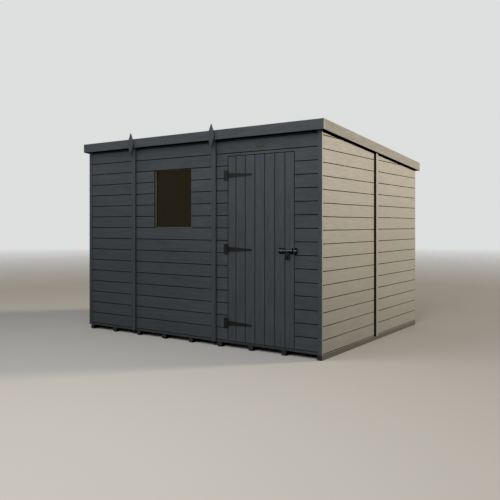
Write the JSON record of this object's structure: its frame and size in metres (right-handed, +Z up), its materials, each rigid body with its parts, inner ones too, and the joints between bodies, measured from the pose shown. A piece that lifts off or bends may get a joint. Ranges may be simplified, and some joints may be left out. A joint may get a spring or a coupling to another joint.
{
  "type": "composite pent shed",
  "caption": "Pent garden shed clad in grey boards, hollow, with a floor, a fixed window, a boarded door on tee hinges and a pad bolt, under a single-slope felted roof.",
  "frame": {"origin": "on the ground, on the middle bearer, under the centre of the walls' plan", "axes": "+X to the right along the front, +Y from the front to the back, +Z up"},
  "size_m": [3.124, 2.504, 2.1965],
  "materials": {
    "cladding_board": "satin",
    "trim_board": "satin",
    "door_board": "satin",
    "window_timber": "satin",
    "bearer": "matte",
    "floor_board": "matte",
    "frame_timber": "matte",
    "roof_board": "matte",
    "roof_felt": "matte",
    "black_hardware": "satin",
    "bolt_steel": "satin",
    "plate_brass": "satin",
    "pane": "gloss"
  },
  "bodies": {
    "root": {"front_wall_left": "cladding_board", "front_wall_window": "cladding_board", "front_wall_hinge_side": "cladding_board", "front_wall_latch_side": "cladding_board", "front_wall_over_door": "cladding_board", "right_wall_front": "cladding_board", "right_wall_back": "cladding_board", "left_wall_front": "cladding_board", "left_wall_back": "cladding_board", "back_wall_left": "cladding_board", "back_wall_middle": "cladding_board", "back_wall_right": "cladding_board", "corner_trims": "trim_board", "front_cover_battens": "trim_board", "back_cover_battens": "trim_board", "side_cover_battens": "trim_board", "fascia_front": "trim_board", "fascia_back": "trim_board", "fascia_left": "trim_board", "fascia_right": "trim_board", "fascia_diamonds": "trim_board", "window_frame": "window_timber", "floor_bearers": "bearer", "floor_deck": "floor_board", "front_posts": "frame_timber", "front_rails": "frame_timber", "back_posts": "frame_timber", "back_rails": "frame_timber", "side_posts": "frame_timber", "side_rails": "frame_timber", "roof_rafters": "frame_timber", "packing_rails": "frame_timber", "roof_deck": "roof_board", "roof_felt": "roof_felt", "hinge_plates": "black_hardware", "bolt_keep": "black_hardware", "oval_plate": "plate_brass", "window_pane": "pane"},
    "door": {"door_boards": "door_board", "door_ledges": "frame_timber", "door_braces": "frame_timber", "hinge_straps": "black_hardware", "bolt_plate": "black_hardware"},
    "bolt": {"bolt_bar": "bolt_steel"},
    "hasp": {"hasp_tab": "black_hardware"}
  },
  "joints": [
    {"name": "door_hinge", "type": "hinge", "parent": "root", "child": "door", "pos_m": [0.4765, -1.189, 0.9625], "axis": [0, 0, -1], "range_deg": [0, 165]},
    {"name": "bolt_slide", "type": "slide", "parent": "door", "child": "bolt", "axis": [1, 0, 0], "range_m": [0, 0.036]},
    {"name": "hasp_swing", "type": "hinge", "parent": "bolt", "child": "hasp", "pos_m": [1.161, -1.1973, 0.9625], "axis": [-1, 0, 0], "range_deg": [0, 90]}
  ]
}
